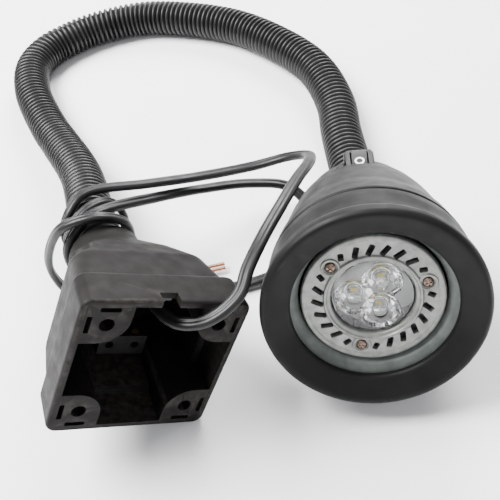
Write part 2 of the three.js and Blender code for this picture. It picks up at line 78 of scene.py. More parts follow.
def turn_about(axis, degrees):
    return Matrix.Rotation(math.radians(degrees), 4, axis)


def face_frame(at, turn, lift, roll):
    """A frame whose +z looks out of an open face and whose +y is up the face."""
    middle = Matrix.Translation(Vector(at) - FOOTPRINT_MIDDLE)
    return middle @ turn_about("Z", turn) @ turn_about("X", 90 + lift) @ turn_about("Z", roll)


BASE = face_frame(**BASE_PLACE)
HEAD = face_frame(**HEAD_PLACE)
BULB = HEAD @ Matrix.Translation((0, 0, -BULB_FACE))
SWITCH = (HEAD @ turn_about("Z", SWITCH_ANGLE)
          @ Matrix.Translation((0, SWITCH_RADIUS, -SWITCH_BACK)) @ turn_about("X", SWITCH_SLOPE))
WORLD = Matrix.Identity(4)

# ---- camera, lights and floor ---------------------------------------------------------------
CAMERA_LENS = 56.16
CAMERA_SENSOR = 36
CAMERA_AT = Vector((18.4, -295.8, 257.7))
CAMERA_RIGHT = Vector((0.97675, -0.15705, -0.14595))
CAMERA_BACK = Vector((0, -0.6807, 0.7325))

camera_data = bpy.data.cameras.new("camera")
camera_data.lens = CAMERA_LENS
camera_data.sensor_width = CAMERA_SENSOR
camera = bpy.data.objects.new("camera", camera_data)
bpy.context.scene.collection.objects.link(camera)
bpy.context.scene.camera = camera
camera_up = CAMERA_BACK.cross(CAMERA_RIGHT).normalized()
camera_turn = Matrix((CAMERA_RIGHT, camera_up, CAMERA_BACK)).transposed()
camera.matrix_world = Matrix.Translation(CAMERA_AT * MM) @ camera_turn.to_4x4()


def area_light(name, at, towards, size, watts):
    light = bpy.data.lights.new(name, "AREA")
    light.size = size
    light.energy = watts
    lamp = bpy.data.objects.new(name, light)
    bpy.context.scene.collection.objects.link(lamp)
    lamp.location = at
    lamp.rotation_mode = "QUATERNION"
    lamp.rotation_quaternion = (Vector(towards) - Vector(at)).to_track_quat("-Z", "Y")


area_light("key_light", at=(-0.55, 0.2, 1.0), towards=(0, 0, 0), size=0.7, watts=62)
area_light("front_light", at=(0.35, -1.0, 0.9), towards=(0, -0.1, 0), size=0.8, watts=3.5)
area_light("far_light", at=(0.45, 0.9, 0.8), towards=(0, 0, 0), size=0.6, watts=33)

SKY_COLOUR = (0.95, 0.96, 1.0, 1)
SKY_STRENGTH = 0.5

world = bpy.data.worlds.new("studio")
world.use_nodes = True
world.node_tree.nodes["Background"].inputs["Color"].default_value = SKY_COLOUR
world.node_tree.nodes["Background"].inputs["Strength"].default_value = SKY_STRENGTH
bpy.context.scene.world = world


# ---- materials ------------------------------------------------------------------------------
NOISE_LOW = 0.3
NOISE_HIGH = 0.7
BLACK = (0, 0, 0)
WHITE = (1, 1, 1)


class Finish:
    """A procedural material, built up a layer at a time on one Principled shader."""

    def __init__(self, name, roughness, metallic=0.0, specular=0.5):
        self.material = bpy.data.materials.new(name)
        self.material.use_nodes = True
        self.tree = self.material.node_tree
        self.shader = self.tree.nodes["Principled BSDF"]
        self.shader.inputs["Roughness"].default_value = roughness
        self.shader.inputs["Metallic"].default_value = metallic
        self.shader.inputs["Specular IOR Level"].default_value = specular
        self.place = self.node("ShaderNodeTexCoord").outputs["Object"]
        self.height = None

    def node(self, kind, **settings):
        made = self.tree.nodes.new(kind)
        for key, value in settings.items():
            setattr(made, key, value)
        return made

    def link(self, start, end):
        self.tree.links.new(start, end)

    def noise(self, size_mm, detail=3.0):
        """A noise whose lumps are about size_mm across, from 0 to 1."""
        made = self.node("ShaderNodeTexNoise")
        made.inputs["Scale"].default_value = 1 / (size_mm * MM)
        made.inputs["Detail"].default_value = detail
        self.link(self.place, made.inputs["Vector"])
        return made.outputs["Fac"]

    def ramp(self, source, stops):
        """Colours for a value from 0 to 1, blended between the stops."""
        made = self.node("ShaderNodeValToRGB")
        ramp = made.color_ramp
        while len(ramp.elements) < len(stops):
            ramp.elements.new(0.5)
        for element, (at, colour) in zip(ramp.elements, stops):
            element.position = at
            element.color = (*colour, 1)
        self.link(source, made.inputs["Fac"])
        return made.outputs["Color"]

    def mix(self, share, first, second):
        made = self.node("ShaderNodeMix", data_type="RGBA")
        self.link(share, made.inputs["Factor"])
        self.link(first, made.inputs["A"])
        self.link(second, made.inputs["B"])
        return made.outputs["Result"]

    def between(self, source, low, high):
        """Stretches the middle of a noise to run from low to high."""
        made = self.node("ShaderNodeMapRange")
        made.inputs["From Min"].default_value = NOISE_LOW
        made.inputs["From Max"].default_value = NOISE_HIGH
        made.inputs["To Min"].default_value = low
        made.inputs["To Max"].default_value = high
        self.link(source, made.inputs["Value"])
        return made.outputs["Result"]

    def colour(self, source):
        self.link(source, self.shader.inputs["Base Color"])
        return self

    def mottle(self, dark, light, size_mm):
        """Patches of two close colours, about size_mm across."""
        return self.colour(self.ramp(self.noise(size_mm, 4), ((0.35, dark), (0.68, light))))

    def vary_roughness(self, low, high, size_mm):
        """A roughness that wanders from low to high over about size_mm."""
        self.link(self.between(self.noise(size_mm), low, high), self.shader.inputs["Roughness"])
        return self

    def bump(self, size_mm, depth_mm, strength):
        """A grain of lumps about size_mm across, added to any grain before it."""
        made = self.node("ShaderNodeBump")
        made.inputs["Strength"].default_value = strength
        made.inputs["Distance"].default_value = depth_mm * MM
        self.link(self.noise(size_mm, 2), made.inputs["Height"])
        if self.height:
            self.link(self.height, made.inputs["Normal"])
        self.height = made.outputs["Normal"]
        self.link(self.height, self.shader.inputs["Normal"])
        return self


DUST_SHARE = 0.35


def moulded_plastic(name, dark, light, worn, low, high, specular=0.18):
    """Fine-grained plastic from dark to light, with rubbed edges and a film of dust in the worn
    colour, and a roughness from low to high."""
    made = Finish(name, 0.6, specular=specular)
    body = made.ramp(made.noise(size_mm=14, detail=5), ((NOISE_LOW, dark), (NOISE_HIGH, light)))
    specks = made.ramp(made.noise(size_mm=1.1, detail=6), ((0.62, BLACK), (0.8, WHITE)))
    dust = made.node("ShaderNodeMath", operation="MULTIPLY")
    made.link(specks, dust.inputs[0])
    dust.inputs[1].default_value = DUST_SHARE
    sharpness = made.node("ShaderNodeNewGeometry").outputs["Pointiness"]
    rubbed = made.ramp(sharpness, ((0.54, BLACK), (0.62, WHITE)))
    pale = made.ramp(made.noise(size_mm=2.5), ((0.3, light), (0.8, worn)))
    dusted = made.mix(dust.outputs[0], body, pale)
    made.colour(made.mix(rubbed, dusted, pale))
    made.vary_roughness(low, high, size_mm=6)
    made.bump(size_mm=0.28, depth_mm=0.035, strength=0.55)
    made.bump(size_mm=4, depth_mm=0.06, strength=0.25)
    return made.material


BLACK_PLASTIC = moulded_plastic(
    "black_plastic", (0.0034, 0.0034, 0.0036), (0.0060, 0.0058, 0.0058), (0.018, 0.017, 0.016),
    0.46, 0.6, specular=0.15)
HOSE_BLACK = moulded_plastic(
    "hose_black", (0.006, 0.006, 0.0063), (0.012, 0.0115, 0.0112), (0.05, 0.048, 0.045),
    0.34, 0.46, specular=0.32)
BASE_PLASTIC = moulded_plastic(
    "base_plastic", (0.0040, 0.0034, 0.0030), (0.0074, 0.0062, 0.0055), (0.036, 0.032, 0.029),
    0.52, 0.68, specular=0.12)
SWITCH_BLACK = moulded_plastic(
    "switch_black", (0.006, 0.006, 0.0065), (0.010, 0.010, 0.0105), (0.02, 0.02, 0.02), 0.34, 0.44)
CORD_BLACK = (Finish("cord_black", 0.4, specular=0.28)
              .mottle((0.006, 0.006, 0.0065), (0.012, 0.0115, 0.012), 9)
              .vary_roughness(0.34, 0.48, 5).bump(1.6, 0.05, 0.3).material)
ALUMINIUM = (Finish("cast_aluminium", 0.45, 0.55).mottle((0.21, 0.22, 0.205), (0.30, 0.31, 0.29), 3)
             .vary_roughness(0.38, 0.55, 2).bump(0.5, 0.05, 0.5).material)
RECESS_GREY = (Finish("recess_grey", 0.6, 0.1).mottle((0.085, 0.098, 0.09), (0.13, 0.145, 0.135), 5)
               .vary_roughness(0.5, 0.65, 4).bump(0.5, 0.04, 0.4).material)
ZINC = (Finish("zinc_plate", 0.35, 0.9).mottle((0.42, 0.43, 0.42), (0.6, 0.6, 0.58), 4)
        .vary_roughness(0.28, 0.45, 1.5).bump(0.6, 0.02, 0.4).material)
DARK_ZINC = (Finish("dark_zinc", 0.45, 0.6).mottle((0.035, 0.035, 0.037), (0.06, 0.06, 0.06), 4)
             .vary_roughness(0.35, 0.55, 1.5).bump(0.6, 0.02, 0.4).material)
BRASS = (Finish("brass", 0.32, 0.95).mottle((0.5, 0.36, 0.14), (0.66, 0.5, 0.24), 5)
         .vary_roughness(0.25, 0.42, 2).bump(0.6, 0.02, 0.4).material)
SCREW_BROWN = (Finish("screw_brown", 0.35, 0.85).mottle((0.13, 0.09, 0.07), (0.27, 0.19, 0.15), 1.4)
               .vary_roughness(0.25, 0.42, 0.9).bump(0.5, 0.02, 0.4).material)
CERAMIC = (Finish("ceramic", 0.35).mottle((0.68, 0.66, 0.6), (0.8, 0.78, 0.72), 5)
           .vary_roughness(0.28, 0.5, 2).bump(0.8, 0.02, 0.3).material)
NYLON = (Finish("nylon", 0.5, specular=0.15).mottle((0.006, 0.006, 0.0065), (0.010, 0.010, 0.0105), 5)
         .vary_roughness(0.42, 0.58, 2).bump(0.5, 0.02, 0.3).material)
BOARD_WHITE = (Finish("board_white", 0.4).mottle((0.66, 0.67, 0.66), (0.8, 0.8, 0.79), 5)
               .vary_roughness(0.35, 0.5, 2).bump(0.7, 0.01, 0.3).material)
LED_YELLOW = (Finish("led_yellow", 0.4).mottle((0.75, 0.52, 0.05), (0.95, 0.78, 0.2), 0.8)
              .bump(0.3, 0.02, 0.4).material)
COPPER = (Finish("copper", 0.35, 0.9).mottle((0.34, 0.17, 0.10), (0.52, 0.28, 0.17), 1)
          .bump(0.3, 0.05, 0.6).material)
MARK_WHITE = (Finish("mark_white", 0.5).mottle((0.72, 0.72, 0.7), (0.88, 0.88, 0.86), 0.8)
              .bump(0.3, 0.01, 0.3).material)


ACRYLIC_IOR = 1.49


def clear_plastic():
    made = Finish("clear_optic", 0.03)
    made.shader.inputs["Transmission Weight"].default_value = 1
    made.shader.inputs["IOR"].default_value = ACRYLIC_IOR
    made.mottle((0.9, 0.93, 0.92), WHITE, 4)
    return made.bump(3, 0.03, 0.25).material


CLEAR = clear_plastic()

FLOOR_PAPER = (Finish("floor_paper", 0.75).mottle((0.93, 0.935, 0.94), (0.96, 0.96, 0.965), 60)
               .bump(2, 0.03, 0.2).material)
FLOOR_CELLS = 8
FLOOR_HALF = 3

floor_mesh = bpy.data.meshes.new("floor")
floor_shape = bmesh.new()
bmesh.ops.create_grid(floor_shape, x_segments=FLOOR_CELLS, y_segments=FLOOR_CELLS, size=FLOOR_HALF)
floor_shape.to_mesh(floor_mesh)
floor = bpy.data.objects.new("floor", floor_mesh)
bpy.context.scene.collection.objects.link(floor)
floor_mesh.materials.append(FLOOR_PAPER)


# ---- mesh helpers ---------------------------------------------------------------------------
SAME_POINT = 1e-4
CREASE_ANGLE = 35
RUBBER_CREASE_ANGLE = 60
CORNER_REACH_SHARE = 0.45
BLOCK_CORNER_STEPS = 3
SOFT_EDGE_STEPS = 2
SOFT_EDGE_ANGLE = 40


def add_mesh(name, shape, material, matrix=WORLD, smooth_below=CREASE_ANGLE):
    """Puts a bmesh built in millimetres into the scene, in metres, with sharp edges kept sharp."""
    bmesh.ops.transform(shape, matrix=Matrix.Scale(MM, 4) @ matrix, verts=shape.verts)
    bmesh.ops.recalc_face_normals(shape, faces=shape.faces)
    mesh = bpy.data.meshes.new(name)
    shape.to_mesh(mesh)
    shape.free()
    mesh.materials.append(material)
    mesh.shade_smooth()
    mesh.set_sharp_from_angle(angle=math.radians(smooth_below))
    made = bpy.data.objects.new(name, mesh)
    bpy.context.scene.collection.objects.link(made)
    return made


def rounded_line(points, reach, steps=4, closed=False):
    """A line through points, with each corner turned into a curve that starts reach away."""
    count = len(points)
    found = []
    for i, point in enumerate(points):
        here = Vector(point)
        if not closed and i in (0, count - 1):
            found.append(here)
            continue
        back = Vector(points[i - 1]) - here
        on = Vector(points[(i + 1) % count]) - here
        start = here + back.normalized() * min(reach, back.length * CORNER_REACH_SHARE)
        end = here + on.normalized() * min(reach, on.length * CORNER_REACH_SHARE)
        for step in range(steps + 1):
            t = step / steps
            found.append(start * (1 - t) ** 2 + here * 2 * t * (1 - t) + end * t * t)
    return found


def skin(rings, closed_along=False):
    """A closed surface over rings of equal length, capped unless the last joins the first."""
    shape = bmesh.new()
    rows = [[shape.verts.new(point) for point in ring] for ring in rings]
    around = len(rings[0])
    pairs = list(zip(rows, rows[1:]))
    if closed_along:
        pairs.append((rows[-1], rows[0]))
    for near, far in pairs:
        for i in range(around):
            j = (i + 1) % around
            shape.faces.new((near[i], near[j], far[j], far[i]))
    if not closed_along:
        shape.faces.new(rows[0])
        shape.faces.new(reversed(rows[-1]))
    bmesh.ops.remove_doubles(shape, verts=shape.verts, dist=SAME_POINT)
    return shape


def turned(section, segments, closed=True):
    """Turned about the local z axis, from (radius, distance behind the face) points."""
    rings = []
    for radius, back in section:
        ring = []
        for i in range(segments):
            angle = 2 * math.pi * i / segments
            ring.append((radius * math.cos(angle), radius * math.sin(angle), -back))
        rings.append(ring)
    return skin(rings, closed_along=closed)


def rod(radius, front, back, x=0, y=0, segments=32):
    """A round bar with its middle at x, y, running from front to back behind the face."""
    shape = turned(((radius, front), (radius, back)), segments, closed=False)
    bmesh.ops.translate(shape, verts=shape.verts, vec=(x, y, 0))
    return shape


def block(width, height, front, back, x=0, y=0, corner=0):
    """A block with its middle at x, y, running from front to back behind the face."""
    half_x = width / 2
    half_y = height / 2
    outline = [(x - half_x, y - half_y), (x + half_x, y - half_y),
               (x + half_x, y + half_y), (x - half_x, y + half_y)]
    if corner:
        outline = rounded_line(outline, corner, BLOCK_CORNER_STEPS, closed=True)
    return skin([[(p[0], p[1], -front) for p in outline], [(p[0], p[1], -back) for p in outline]])


def turned_by(shape, matrix):
    """The same shape, moved by a matrix."""
    bmesh.ops.transform(shape, matrix=matrix, verts=shape.verts)
    return shape


def combined(first, others, operation):
    """The first shape joined with or cut by the others, as a new one."""
    objects = []
    for shape in (first, *others):
        bmesh.ops.recalc_face_normals(shape, faces=shape.faces)
        mesh = bpy.data.meshes.new("tool")
        shape.to_mesh(mesh)
        shape.free()
        made = bpy.data.objects.new("tool", mesh)
        bpy.context.scene.collection.objects.link(made)
        objects.append(made)
    for tool in objects[1:]:
        boolean = objects[0].modifiers.new("boolean", "BOOLEAN")
        boolean.operation = operation
        boolean.solver = "EXACT"
        boolean.object = tool
    evaluated = objects[0].evaluated_get(bpy.context.evaluated_depsgraph_get())
    result = bmesh.new()
    result.from_mesh(evaluated.to_mesh())
    evaluated.to_mesh_clear()
    for made in objects:
        bpy.data.objects.remove(made)
    bmesh.ops.remove_doubles(result, verts=result.verts, dist=SAME_POINT)
    return result


def soften(piece, width_mm):
    """Rounds the sharp edges."""
    bevel = piece.modifiers.new("softened_edges", "BEVEL")
    bevel.width = width_mm * MM
    bevel.segments = SOFT_EDGE_STEPS
    bevel.limit_method = "ANGLE"
    bevel.angle_limit = math.radians(SOFT_EDGE_ANGLE)
    bevel.harden_normals = True
    return piece


def finished(piece, body, slot, *nodes):
    """Puts a piece on its body, in place of the CAD nodes it stands for; the slot is not used."""
    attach(piece, body)
    if nodes:
        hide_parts(*nodes)


# ---- curves through points ------------------------------------------------------------------
DIRECTION_REACH = 1.5
SHORTEST_SPAN = 1e-4


def through(points, per_span):
    """A centripetal Catmull-Rom curve through the points, per_span steps between two of them."""
    padded = [points[0] * 2 - points[1], *points, points[-1] * 2 - points[-2]]
    found = []
    for i in range(len(points) - 1):
        p0, p1, p2, p3 = padded[i:i + 4]
        before, inside, after = [max((b - a).length ** 0.5, SHORTEST_SPAN)
                                 for a, b in ((p0, p1), (p1, p2), (p2, p3))]
        leave = (p1 - p0) / before - (p2 - p0) / (before + inside) + (p2 - p1) / inside
        arrive = (p2 - p1) / inside - (p3 - p1) / (inside + after) + (p3 - p2) / after
        leave *= inside
        arrive *= inside
        for step in range(per_span):
            t = step / per_span
            found.append(p1 + leave * t + (p2 * 3 - p1 * 3 - leave * 2 - arrive) * t * t
                         + (p1 * 2 - p2 * 2 + leave + arrive) * t ** 3)
    return [*found, points[-1]]


class Path:
    """Places and directions at a distance along a chain of close points."""

    def __init__(self, points):
        self.points = points
        self.at = [0.0]
        for a, b in zip(points, points[1:]):
            self.at.append(self.at[-1] + (b - a).length)
        self.length = self.at[-1]

    def place(self, distance):
        low = 0
        high = len(self.at) - 1
        distance = min(max(distance, 0), self.length)
        while high - low > 1:
            middle = (low + high) // 2
            if self.at[middle] <= distance:
                low = middle
            else:
                high = middle
        share = (distance - self.at[low]) / (self.at[high] - self.at[low])
        return self.points[low].lerp(self.points[high], share)

    def direction(self, distance):
        ahead = self.place(distance + DIRECTION_REACH)
        return (ahead - self.place(distance - DIRECTION_REACH)).normalized()


# ---- supply cord ----------------------------------------------------------------------------
CORD_LEAVING = (
    (-32.4, -128.1, 32), (-27.3, -124.3, 41.3), (-22.5, -124.3, 49.1), (-18.2, -129.2, 54.3),
    (-15.6, -137.3, 56), (-13.4, -146.6, 54.5), (-6.8, -153.9, 53.2), (3.5, -156.2, 54.6),
    (14.5, -152, 58.5), (19.5, -143, 60.8), (26.5, -131.5, 61.5), (36, -114.5, 58.5),
    (45, -97, 53.5), (52.5, -82, 47.5), (53.5, -70, 40.5), (46, -61, 34), (31, -58, 30.5),
    (8, -59.5, 32.5), (-15, -65.5, 40),
)
CORD_ROUND_THE_BASE = (
    (-25, -91.5, 46), (-33.5, -94.5, 54), (-47, -94, 52.5), (-57.5, -89.5, 38.5),
    (-62.5, -86.5, 22), (-59, -87.5, 8.5), (-48, -91, 3),
)
CORD_UNDER_THE_LAMP = (
    (-30, -95.5, 2.8), (-5, -99, 2.7), (20, -100, 2.7), (36, -95.5, 2.8), (48, -83, 4.5),
    (52, -70, 8.5), (45, -59, 14.5), (28, -56.5, 19.5), (7, -60, 25.5), (-11, -69, 34.5),
)
CORD_TAIL = ((-48, -96, 23), (-42, -91, 11), (-27, -85.5, 4.2), (0, -87, 2.7))
WINDING_START = Vector((-36.5, -94.8, 36.4))
WINDING_ALONG = (Vector((-41.3, -71.5, 34)) - WINDING_START).normalized()
WINDING_STEP = 30
# Stations of a winding: degrees from the hose's top, and how far along the hose.
FIRST_WINDING = ((-20, 24), (60, 15), (300, 17), (420, 6), (630, 4))
FIRST_WINDING_RADIUS = 13
SECOND_WINDING = ((-20, 7), (40, 1), (100, 0))
SECOND_WINDING_RADIUS = 14
# The stretch round the hose where the flat cord lies against it.
WOUND_RADIUS = 34
WOUND_FROM = -15
WOUND_TO = 34
CALM_RINGS = 9
CORD_WIDTH = 5.0
LOBE_RADIUS = 1.55
LOBE_APART = CORD_WIDTH / 2 - LOBE_RADIUS
CORD_SIDES = 24
CORD_RING_PITCH = 1.6
CORD_CURVE_STEPS = 12


def winding(radius, stations):
    """Points round the hose, between stations of degrees from the top and mm along it."""
    top = (Vector((0, 0, 1)) - WINDING_ALONG * WINDING_ALONG.z).normalized()
    left = top.cross(WINDING_ALONG)
    points = []
    for (from_angle, from_place), (to_angle, to_place) in zip(stations, stations[1:]):
        steps = round((to_angle - from_angle) / WINDING_STEP)
        for step in range(1 if points else 0, steps + 1):
            share = step / steps
            angle = math.radians(from_angle + (to_angle - from_angle) * share)
            eased = share * share * (3 - 2 * share)
            place = from_place + (to_place - from_place) * eased
            points.append(WINDING_START + WINDING_ALONG * place
                          + (top * math.cos(angle) + left * math.sin(angle)) * radius)
    return points


def thin_way(place):
    """The way that the thin side of the flat cord faces: off the hose near it, else upwards."""
    out = place - (WINDING_START - FOOTPRINT_MIDDLE)
    along = out.dot(WINDING_ALONG)
    out -= WINDING_ALONG * along
    near_hose = out.length < WOUND_RADIUS and WOUND_FROM < along < WOUND_TO
    return out.normalized() if near_hose else Vector((0, 0, 1))


def thin_ways(path, distances):
    """One direction for each distance, square to the cord and turning gently along it."""
    found = []
    for distance in distances:
        along = path.direction(distance)
        way = thin_way(path.place(distance))
        way = way - along * way.dot(along)
        if found and way.dot(found[-1]) < 0:
            way = -way
        found.append(way)
    calm = []
    for i, distance in enumerate(distances):
        total = sum(found[max(i - CALM_RINGS, 0):i + CALM_RINGS + 1], Vector())
        along = path.direction(distance)
        calm.append((total - along * total.dot(along)).normalized())
    return calm


def cord_section(side, thin):
    """Two round cores side by side, with a groove between them."""
    ring = []
    for i in range(CORD_SIDES):
        angle = 2 * math.pi * i / CORD_SIDES
        across = math.cos(angle)
        up = math.sin(angle)
        reach = LOBE_APART * abs(across) + math.sqrt(LOBE_RADIUS ** 2 - (LOBE_APART * up) ** 2)
        ring.append((side * across + thin * up) * reach)
    return ring


def build_cord():
    """The flat lead from the terminal block to its bared end, with its cores."""
    route = [*CORD_LEAVING, *winding(FIRST_WINDING_RADIUS, FIRST_WINDING), *CORD_ROUND_THE_BASE,
             *CORD_UNDER_THE_LAMP, *winding(SECOND_WINDING_RADIUS, SECOND_WINDING), *CORD_TAIL]
    path = Path(through([Vector(point) - FOOTPRINT_MIDDLE for point in route], CORD_CURVE_STEPS))
    count = round(path.length / CORD_RING_PITCH)
    distances = [path.length * i / count for i in range(count + 1)]
    rings = []
    for distance, thin in zip(distances, thin_ways(path, distances)):
        side = path.direction(distance).cross(thin)
        middle = path.place(distance)
        rings.append([middle + point for point in cord_section(side, thin)])
    cord = add_mesh("supply_cord", skin(rings), CORD_BLACK, smooth_below=RUBBER_CREASE_ANGLE)
    finished(cord, "base", "cord_black", "cord_lead")
    centres = [path.place(distance) * MM for distance in distances]


build_cord()


# ---- hose -----------------------------------------------------------------------------------
HOSE_ROUTE = (
    (-49, -29, 22), (-62, 10, 13.5), (-69, 29, 11), (-80, 69, 10), (-80, 93, 10),
    (-71, 108, 10), (-58, 116, 10), (-44, 121, 10), (-15, 122, 10), (12, 111, 10),
    (40, 91, 10), (61, 64, 10), (76, 33, 10), (80, 0, 10), (77, -27, 11),
)
# The hose starts a little way off each ferrule's seat and leaves it straight.
HOSE_GAP = 2.6
STRAIGHT_END = 14
HOSE_CURVE_STEPS = 60
BASE_HOSE_START = NECK_END + HOSE_GAP
HEAD_HOSE_START = HEAD_LENGTH + HOSE_GAP
BEND_REACH_SHARE = 0.42
RIB_PITCH = 3.1
RIB_STRETCH = 1.1
STRETCHED_RIBS = 25
RIB_DEPTH = 1.5
RIB_CROWN = 0.2
GROOVE_SHARE = 0.21
RIB_STEPS = 8
HOSE_SIDES = 40


def behind(place, back):
    """A point on the middle line, back behind the open face."""
    return place @ Vector((0, 0, -back))


hose = Path(through([
    behind(BASE, BASE_HOSE_START), behind(BASE, BASE_HOSE_START + STRAIGHT_END),
    *[Vector(point) - FOOTPRINT_MIDDLE for point in HOSE_ROUTE],
    behind(HEAD, HEAD_HOSE_START + STRAIGHT_END), behind(HEAD, HEAD_HOSE_START)], HOSE_CURVE_STEPS))
later_length = (hose.length - FIRST_HOSE_LENGTH) / (HOSE_LENGTHS - 1)
hose_joints = [FIRST_HOSE_LENGTH + later_length * i for i in range(HOSE_LENGTHS)]
hose_middles = [FIRST_HOSE_LENGTH / 2] + [at + later_length / 2 for at in hose_joints[:-1]]


def rib_place(rib):
    """How far along the hose a rib lies: they are wider apart near the base."""
    return RIB_PITCH * rib + RIB_STRETCH * STRETCHED_RIBS * (1 - math.exp(-rib / STRETCHED_RIBS))


def rib_radius(phase):
    """The hose's radius on ribs with grooves between; phase runs from 0 to 1 over one of each."""
    groove = math.exp(-((phase - 0.5) / GROOVE_SHARE) ** 2)
    crown = RIB_CROWN * math.cos(2 * math.pi * phase)
    return HOSE_RADIUS - RIB_CROWN + crown - RIB_DEPTH * groove


rib_stations = []
while rib_place(len(rib_stations) / RIB_STEPS) < hose.length:
    rib_stations.append(rib_place(len(rib_stations) / RIB_STEPS))


def nearest_station(distance):
    """The number of the ring nearest to a distance along the hose."""
    return min(range(len(rib_stations)), key=lambda i: abs(rib_stations[i] - distance))


def hose_run(name, start, end):
    """The ribbed hose between two distances along it."""
    rings = []
    for step in range(nearest_station(start), nearest_station(end) + 1):
        distance = rib_stations[step]
        middle = hose.place(distance)
        along = hose.direction(distance)
        side = along.cross(Vector((0, 0, 1))).normalized()
        up = side.cross(along)
        radius = rib_radius(step / RIB_STEPS % 1)
        ring = []
        for i in range(HOSE_SIDES):
            angle = 2 * math.pi * i / HOSE_SIDES
            ring.append(middle + radius * (side * math.cos(angle) + up * math.sin(angle)))
        rings.append(ring)
    return add_mesh(name, skin(rings), HOSE_BLACK, smooth_below=RUBBER_CREASE_ANGLE)


def build_hose():
    """Two rigid ends and a length over each joint between them."""
    reach = later_length * BEND_REACH_SHARE
    finished(hose_run("hose_start", 0, hose_middles[0]), "base", "hose_black", "hose_length_1")
    for i in range(HOSE_LENGTHS - 1):
        run = hose_run(f"hose_bend_{i + 1}", hose_middles[i], hose_middles[i + 1])
        joint = hose_joints[i]
        hose.place(joint - reach) * MM
        hose.place(joint + reach) * MM
        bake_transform(run)
        if i:
            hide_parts(f"hose_length_{i + 1}")
    finished(hose_run("hose_end", hose_middles[-1], hose.length), "head", "hose_black",
             f"hose_length_{HOSE_LENGTHS}")


build_hose()


# ---- base -----------------------------------------------------------------------------------
# Half width, corner radius and distance behind the open face.
BASE_OUTSIDE = (
    (29.4, 3.6, 0), (30, 4, 0.8), (29.4, 4, 15), (27.4, 4.6, 16.8), (25.6, 7, 32),
    (21.4, 10, 43), (17.6, 13, 50.5), (15.2, 15, 56), (14.4, 14.2, 63.4), (13.8, 13.6, 64),
)
BASE_INSIDE = (
    (27.6, 3, -2), (27.0, 3, 14), (25.0, 3.4, 15), (23, 5, 31), (18.6, 8, 42),
    (14.8, 11, 48.5), (12.4, 12.2, 54.5),
)
BASE_CORNERS = ((1, 1), (-1, 1), (-1, -1), (1, -1))
CORNER_STEPS = 8
BASE_SCREW = 20
BASE_SLOT = 26.3
BASE_SLOT_WIDTH = 1.7
BASE_SLOT_LENGTH = 7
BASE_SLOT_CORNER = 0.4
BOSS_CORNER = 10
BOSS_CORNER_STEPS = 10


def square_ring(half, corner, back):
    """A rounded square: curved steps round each corner, straight between."""
    flat = half - corner
    points = []
    for quarter in range(4):
        middle = math.radians(45 + 90 * quarter)
        x = math.copysign(flat, math.cos(middle))
        y = math.copysign(flat, math.sin(middle))
        for step in range(CORNER_STEPS + 1):
            angle = math.radians(90 * quarter + 90 * step / CORNER_STEPS)
            points.append((x + corner * math.cos(angle), y + corner * math.sin(angle), -back))
    return points


def square_stack(levels, reach):
    """A solid through rounded squares at several depths, with its long edges rounded."""
    smooth = rounded_line(levels, reach)
    return skin([square_ring(half, corner, back) for half, corner, back in smooth])


def corner_boss(sign_x, sign_y):
    """The full-height corner that holds a mounting screw, with its inner edge rounded."""
    low = BASE_HALF - 18
    high = BASE_HALF + 3
    middle = low + BOSS_CORNER
    outline = [(high, high), (low, high)]
    for step in range(BOSS_CORNER_STEPS + 1):
        angle = math.pi + math.pi / 2 * step / BOSS_CORNER_STEPS
        outline.append((middle + BOSS_CORNER * math.cos(angle),
                        middle + BOSS_CORNER * math.sin(angle)))
    outline.append((high, low))
    flipped = [(x * sign_x, y * sign_y) for x, y in outline]
    return skin([[(x, y, 2) for x, y in flipped], [(x, y, -44) for x, y in flipped]])


def build_base():
    outer = square_stack(BASE_OUTSIDE, 1.2)
    inner = square_stack(BASE_INSIDE, 0.8)
    bosses = [corner_boss(*corner) for corner in BASE_CORNERS]
    hollow = combined(inner, bosses, "DIFFERENCE")
    hose_hole = rod(8.3, front=52, back=66, segments=48)
    cord_notch = block(6.5, 6.8, front=-1, back=5, y=29, corner=0.5)
    cuts = [hollow, hose_hole, cord_notch]
    for sign_x, sign_y in BASE_CORNERS:
        x = BASE_SCREW * sign_x
        y = BASE_SCREW * sign_y
        cuts += [
            rod(2.6, front=-1, back=12, x=x, y=y),
            rod(4.6, front=9, back=55, x=x, y=y),
            block(BASE_SLOT_WIDTH, BASE_SLOT_LENGTH, front=-1, back=6,
                  x=BASE_SLOT * sign_x, y=y, corner=BASE_SLOT_CORNER),
            block(BASE_SLOT_LENGTH, BASE_SLOT_WIDTH, front=-1, back=6,
                  x=x, y=BASE_SLOT * sign_y, corner=BASE_SLOT_CORNER),
        ]
    shell = add_mesh("base_housing", combined(outer, cuts, "DIFFERENCE"), BASE_PLASTIC, BASE)
    finished(soften(shell, 0.35), "base", "black_plastic", "base_shell")


build_base()


# ---- lamp head ------------------------------------------------------------------------------
# Each section is turned about the head's middle: radius and distance behind the hood's face.
HOOD_SECTION = (
    (35.8, 0.2), (37.6, 0), (38.9, 1.6), (38.9, 4.6), (38.2, 6.2), (36.8, 8.4), (36.75, 12),
    (37.0, 17), (36.9, 20.5), (36.1, 21.4), (34.2, 21.4), (34.2, 8.2), (32, 7.2), (29.1, 6.6),
    (28.5, 5.9), (28.5, 4.4), (29.2, 3.6),
)
HOUSING_SECTION = (
    (33.9, 16), (33.9, 22), (35.9, 22), (36.7, 22.9), (36.2, 25), (35.2, 31), (33.4, 38),
    (30.4, 54), (28.2, 62.8), (27.7, 64.4), (26.3, 65.8), (24.1, 75.6), (22.7, 78.4), (20, 80),
    (8.3, 80), (8.3, 77.6), (20.4, 77.6), (22, 74), (24, 64), (28, 54), (30.8, 38), (33, 26),
    (31.9, 20), (31.9, 16),
)
RECESS_SECTION = ((33.7, 8.2), (30, 8.8), (27.6, 9.8), (25.7, 11.6), (25.7, 14), (33.7, 14))
HEAD_SEGMENTS = 160
RING_SEGMENTS = 144
VENTS_IN_GROUP = 3


